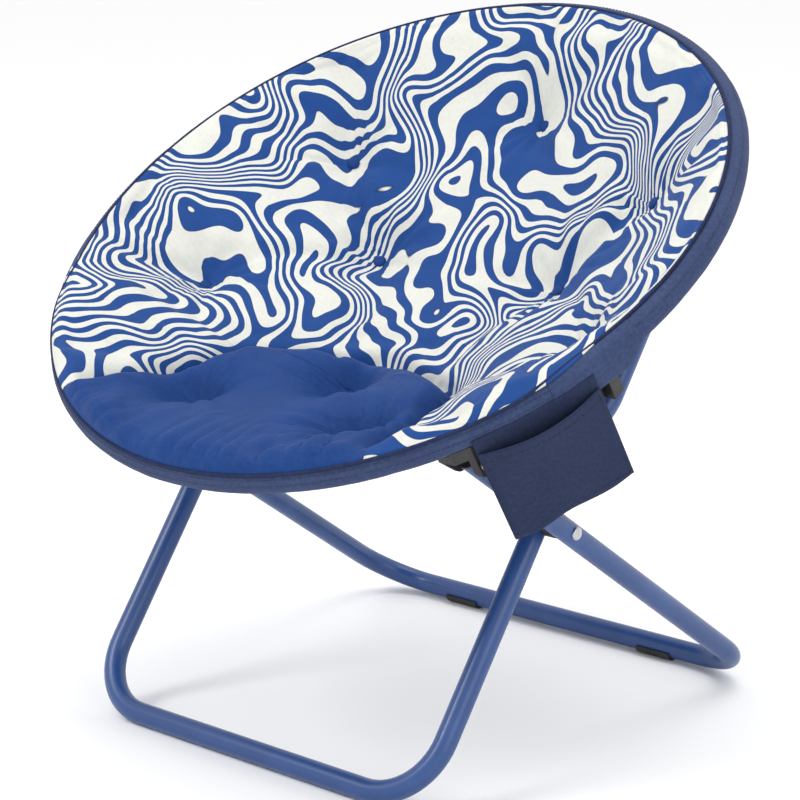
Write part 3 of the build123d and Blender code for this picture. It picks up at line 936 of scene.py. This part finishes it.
def back_print(tree, tone):
    """The print, with the round rear of the plain seat let into it."""
    away = vector_node(tree, "DISTANCE", "Value", coords(tree, "UV"), seat_arc_middle.to_3d())
    plain = math_node(tree, "LESS_THAN", away, seat_arc_radius)
    blue = colour_mix(tree, ramp(tree, tone, *print_tone), seat_blue_dark, seat_blue_light)
    return colour_mix(tree, plain, swirl_print(tree, tone), blue)


print_cloth = cloth_finish(
    "print_cloth", swirl_print, rough=0.62, crease=1.0, Sheen_Weight=0.05, Sheen_Roughness=0.5,
)
back_cloth = cloth_finish(
    "back_cloth", back_print, rough=0.58, crease=1.0, Sheen_Weight=0.05, Sheen_Roughness=0.5,
)
blue_cloth = cloth_finish(
    "blue_cloth", two_tone(seat_blue_dark, seat_blue_light), rough=0.42, crease=0.8,
)


def close_cut(bm, edges):
    """Close the padding where it was cut through."""
    bmesh.ops.holes_fill(bm, edges=[edge for edge in edges if edge.is_valid], sides=0)


def fold_plane(way):
    """Plane through the fold, facing the back for 1 and the front for -1."""
    return Vector((0, fold_v, 0)), Vector((0, way, 0))


def seam_plane(side, way):
    """Plane through one side seam of the seat, facing out for 1 and in for -1."""
    normal = Vector((-seat_side_run.y, seat_side_run.x)).normalized()
    point = Vector((side * seat_corner.x, seat_corner.y, 0))
    return point, Vector((side * normal.x, normal.y, 0)) * way


def pad_piece(planes):
    """One sewn part of the mattress, cut from the whole by planes and closed."""
    bm = mattress.copy()
    for point, normal in planes:
        close_cut(bm, cut(bm, point, normal))
    bmesh.ops.recalc_face_normals(bm, faces=bm.faces[:])
    lay_uv(bm, flat_uv)
    return bm


pads = (
    ("seat_pad", "front", (fold_plane(-1), seam_plane(1, -1), seam_plane(-1, -1)), "blue_fabric", blue_cloth),
    ("side_pad_right", "front", (fold_plane(-1), seam_plane(1, 1)), "print_fabric", print_cloth),
    ("side_pad_left", "front", (fold_plane(-1), seam_plane(-1, 1)), "print_fabric", print_cloth),
    ("back_pad", "back", (fold_plane(1),), "print_fabric", back_cloth),
)
for name, half, planes, slot, material in pads:
    pad = finish_piece(name + "_quilted", pad_piece(planes), bodies[half], material)
    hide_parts(name)
    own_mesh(pad)
mattress.free()


# Tuft buttons
# Small fabric-covered buttons that pull the padding down, tied through to the sling.
# Each is a low dome of the blue cloth.
button_radius = 0.0068
button_height = 0.0036
button_lift = 0.0012


def add_button(bm, point, floor_z):
    """Low dome pressed into the cover at a tuft."""
    ball = ball_radius(pad_rim_z, pad_depth)
    lean = Vector((-point.x, -point.y, math.sqrt(ball**2 - point.length_squared))).normalized()
    turn = lean.to_track_quat("Z", "Y").to_matrix().to_4x4()
    size = Matrix.Diagonal((button_radius, button_radius, button_height, 1))
    place = Matrix.Translation(Vector((point.x, point.y, floor_z)) + lean * button_lift)
    bmesh.ops.create_uvsphere(bm, u_segments=20, v_segments=12, radius=1, matrix=place @ turn @ size)


for half, way in (("front", -1), ("back", 1)):
    bm = bmesh.new()
    for point, floor_z in zip(tufts, tuft_floors):
        if (point.y - fold_v) * way > 0:
            add_button(bm, point, floor_z)
    lay_uv(bm, flat_uv)
    buttons = finish_piece(half + "_tuft_buttons_covered", bm, bodies[half], blue_cloth)
    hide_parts(half + "_tuft_buttons")
    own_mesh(buttons)


# Piping
# A thin corded edge sewn between the padding and the rim sleeve, all round the hoop.
# Dark navy tape folded over a cord; over the hinges it bends with the cuffs.
piping_radius = 0.0016
piping_sides = 10
piping_reach = sleeve_radius + piping_radius
piping_dark = (0.012, 0.018, 0.055, 1)
piping_light = (0.026, 0.038, 0.095, 1)
piping_cloth = cloth_finish("piping_cloth", two_tone(piping_dark, piping_light), rough=0.8, crease=0.8)


def piping_cord(start, sweep, step):
    """Round cord laid along the sewn edge of the cover."""
    bm = arc_strip(round_section(piping_radius, piping_sides), start, sweep, step)
    for vert in bm.verts:
        angle = math.atan2(vert.co.y, vert.co.x)
        turn = edge_turn(angle)
        vert.co += (outwards(angle) * math.cos(turn) + Vector((0, 0, math.sin(turn)))) * piping_reach
    lay_uv(bm, sleeve_uv)
    return bm


for half, (start, sweep) in arcs.items():
    bm = piping_cord(start, sweep, sleeve_step)
    piping = finish_piece(half + "_piping_cord", bm, bodies[half], piping_cloth)
    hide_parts(half + "_piping")
for side, (start, sweep) in cuff_arcs.items():
    bm = piping_cord(start, sweep, cuff_step)
    bend_over_hinge("hinge_piping_" + side, bm, piping_cloth)


# Side pocket
# A flat patch pocket of navy canvas hung from the rim sleeve on the +X side.
# Its back lies along the sleeve, its front bows out at the mouth, and the edges are stitched.
pocket_half = 0.061
pocket_depth = 0.104
pocket_drop = 0.014
pocket_turn = Matrix.Rotation(math.radians(-32.3), 4, "Z")
pocket_place = hoop_place @ pocket_turn
pocket_fit = 0.0005
pocket_face = hoop_radius + sleeve_radius + pocket_fit
pocket_cloth = 0.0014
pocket_gap = 0.0024
pocket_mouth = 0.014
mouth_ease = 1.3
pocket_bow = 0.0035
ripple_across = 1.7
ripple_down = 1.3
ripple_seed = 2.0
ripple_height = 0.0025
ripple_least = 0.3
hem_wave = 0.0022
hem_turns = 5.1
hem_inset = 0.955
mouth_hem = 0.1
side_stitches = 20
row_stitches = 11
row_pitch = 1 / 11.7
pocket_stitch_lift = 0.0006
pocket_dark = (0.016, 0.024, 0.058, 1)
pocket_light = (0.027, 0.038, 0.088, 1)
pocket_canvas = cloth_finish(
    "pocket_canvas", two_tone(pocket_dark, pocket_light), rough=0.8, crease=1.6, Sheen_Weight=0.03,
)


def pocket_panel(top_z, bow_at, columns=36, rows=30):
    """Panel of the pocket, its bow worked out from its place across and down."""
    bm = bmesh.new()
    bmesh.ops.create_grid(bm, x_segments=columns, y_segments=rows, size=1)
    base_z = -pocket_drop - pocket_depth
    for vert in bm.verts:
        across, down = vert.co.x, (1 - vert.co.y) / 2
        ripple = noise.noise((across * ripple_across, down * ripple_down, ripple_seed))
        ripple *= ripple_height * (ripple_least + (1 - ripple_least) * down)
        hem = hem_wave * math.sin(across * hem_turns + ripple_seed) * down**3
        z = top_z + (base_z - top_z) * down + hem
        vert.co = (bow_at(across, down) + ripple, across * pocket_half, z)
    return bm


def back_bow(across, down):
    """How far the back panel stands from the hoop's axis."""
    return pocket_face - pocket_bow * across**2 * (1 - down / 2)


def front_bow(across, down):
    """How far the front panel stands from the hoop's axis, open at the mouth."""
    open_by = pocket_mouth * (1 - across**2) * (1 - down) ** mouth_ease
    return back_bow(across, down) + pocket_gap + open_by


def pocket_uv(point):
    """Map of a panel seen from outside."""
    return point.y, point.z


def pocket_stitch(bm, across, down, along):
    """One stitch on the pocket's front panel."""
    z = -pocket_drop - pocket_depth * down
    reach = front_bow(across, down) + pocket_stitch_lift
    add_stitch(bm, Vector((reach, across * pocket_half, z)), along)


panels = (("pocket_back_panel", 0.0, back_bow), ("pocket_front_panel", -pocket_drop, front_bow))
for name, top_z, bow_at in panels:
    bm = pocket_panel(top_z, bow_at)
    lay_uv(bm, pocket_uv)
    panel = finish_piece(name + "_cloth", bm, "seat_hoop", pocket_canvas, pocket_place)
    thicken(panel, pocket_cloth, -1)
    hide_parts(name)

bm = bmesh.new()
for across in (-hem_inset, hem_inset):
    for k in range(1, side_stitches + 1):
        pocket_stitch(bm, across, k / (side_stitches + 2), Vector((0, 0, 1)))
for down in (mouth_hem, hem_inset):
    for k in range(-row_stitches, row_stitches + 1):
        pocket_stitch(bm, k * row_pitch, down, Vector((0, 1, 0)))
finish_piece("pocket_stitches", bm, "seat_hoop", sewing_thread, pocket_place)


# Studio
# Pale floor in a plain white surround, with soft boxes above and to the sides.
# The camera stands where the photograph was taken from.
floor_pale = (0.96, 0.96, 0.96, 1)
floor_rough = 0.9
floor_half = 12
surround_white = (1, 1, 1, 1)
surround_strength = 1.0
lit_middle = Vector((0, 0, 0.4))
lit_base = Vector((0, 0, 0.3))
view_azimuth = math.radians(40.375)
view_elevation = math.radians(14.199)
view_target = Vector((0.095845, -0.096868, 0.352055))
view_distance = 2.364997
view_lens = 113.456
view_sensor = 36.0


def studio_floor():
    """Floor that the chair stands on."""
    material, tree, shader = new_material("floor_pale")
    set_sockets(tree, shader, Base_Color=floor_pale, Roughness=floor_rough)
    bm = bmesh.new()
    bmesh.ops.create_grid(bm, x_segments=1, y_segments=1, size=floor_half)
    mesh = bpy.data.meshes.new("studio_floor")
    bm.to_mesh(mesh)
    bm.free()
    mesh.materials.append(material)
    made = bpy.data.objects.new("studio_floor", mesh)
    bpy.context.scene.collection.objects.link(made)


def soft_box(name, place, aim, size, power):
    """Round soft light at a place, turned towards its aim."""
    light = bpy.data.lights.new(name, "AREA")
    light.shape = "DISK"
    light.size = size
    light.energy = power
    made = bpy.data.objects.new(name, light)
    made.location = place
    made.rotation_euler = (aim - Vector(place)).to_track_quat("-Z", "Y").to_euler()
    bpy.context.scene.collection.objects.link(made)


studio_floor()
soft_box("key_light", (-1.4, -2.4, 2.8), lit_middle, size=1.3, power=44)
soft_box("fill_light", (2.6, -0.8, 1.4), lit_middle, size=1.8, power=14)
soft_box("top_light", (0.2, 0.6, 3.0), lit_base, size=2.2, power=26)
world = bpy.data.worlds.new("studio")
bpy.context.scene.world = world
world.use_nodes = True
surround = world.node_tree.nodes["Background"]
set_sockets(world.node_tree, surround, Color=surround_white, Strength=surround_strength)
bpy.context.scene.view_settings.view_transform = "Standard"

sight = Vector((
    math.sin(view_azimuth) * math.cos(view_elevation),
    -math.cos(view_azimuth) * math.cos(view_elevation),
    math.sin(view_elevation),
))
camera = bpy.data.objects.new("camera", bpy.data.cameras.new("camera"))
camera.data.lens = view_lens
camera.data.sensor_width = view_sensor
camera.location = view_target + sight * view_distance
camera.rotation_euler = (-sight).to_track_quat("-Z", "Y").to_euler()
bpy.context.scene.collection.objects.link(camera)
bpy.context.scene.camera = camera
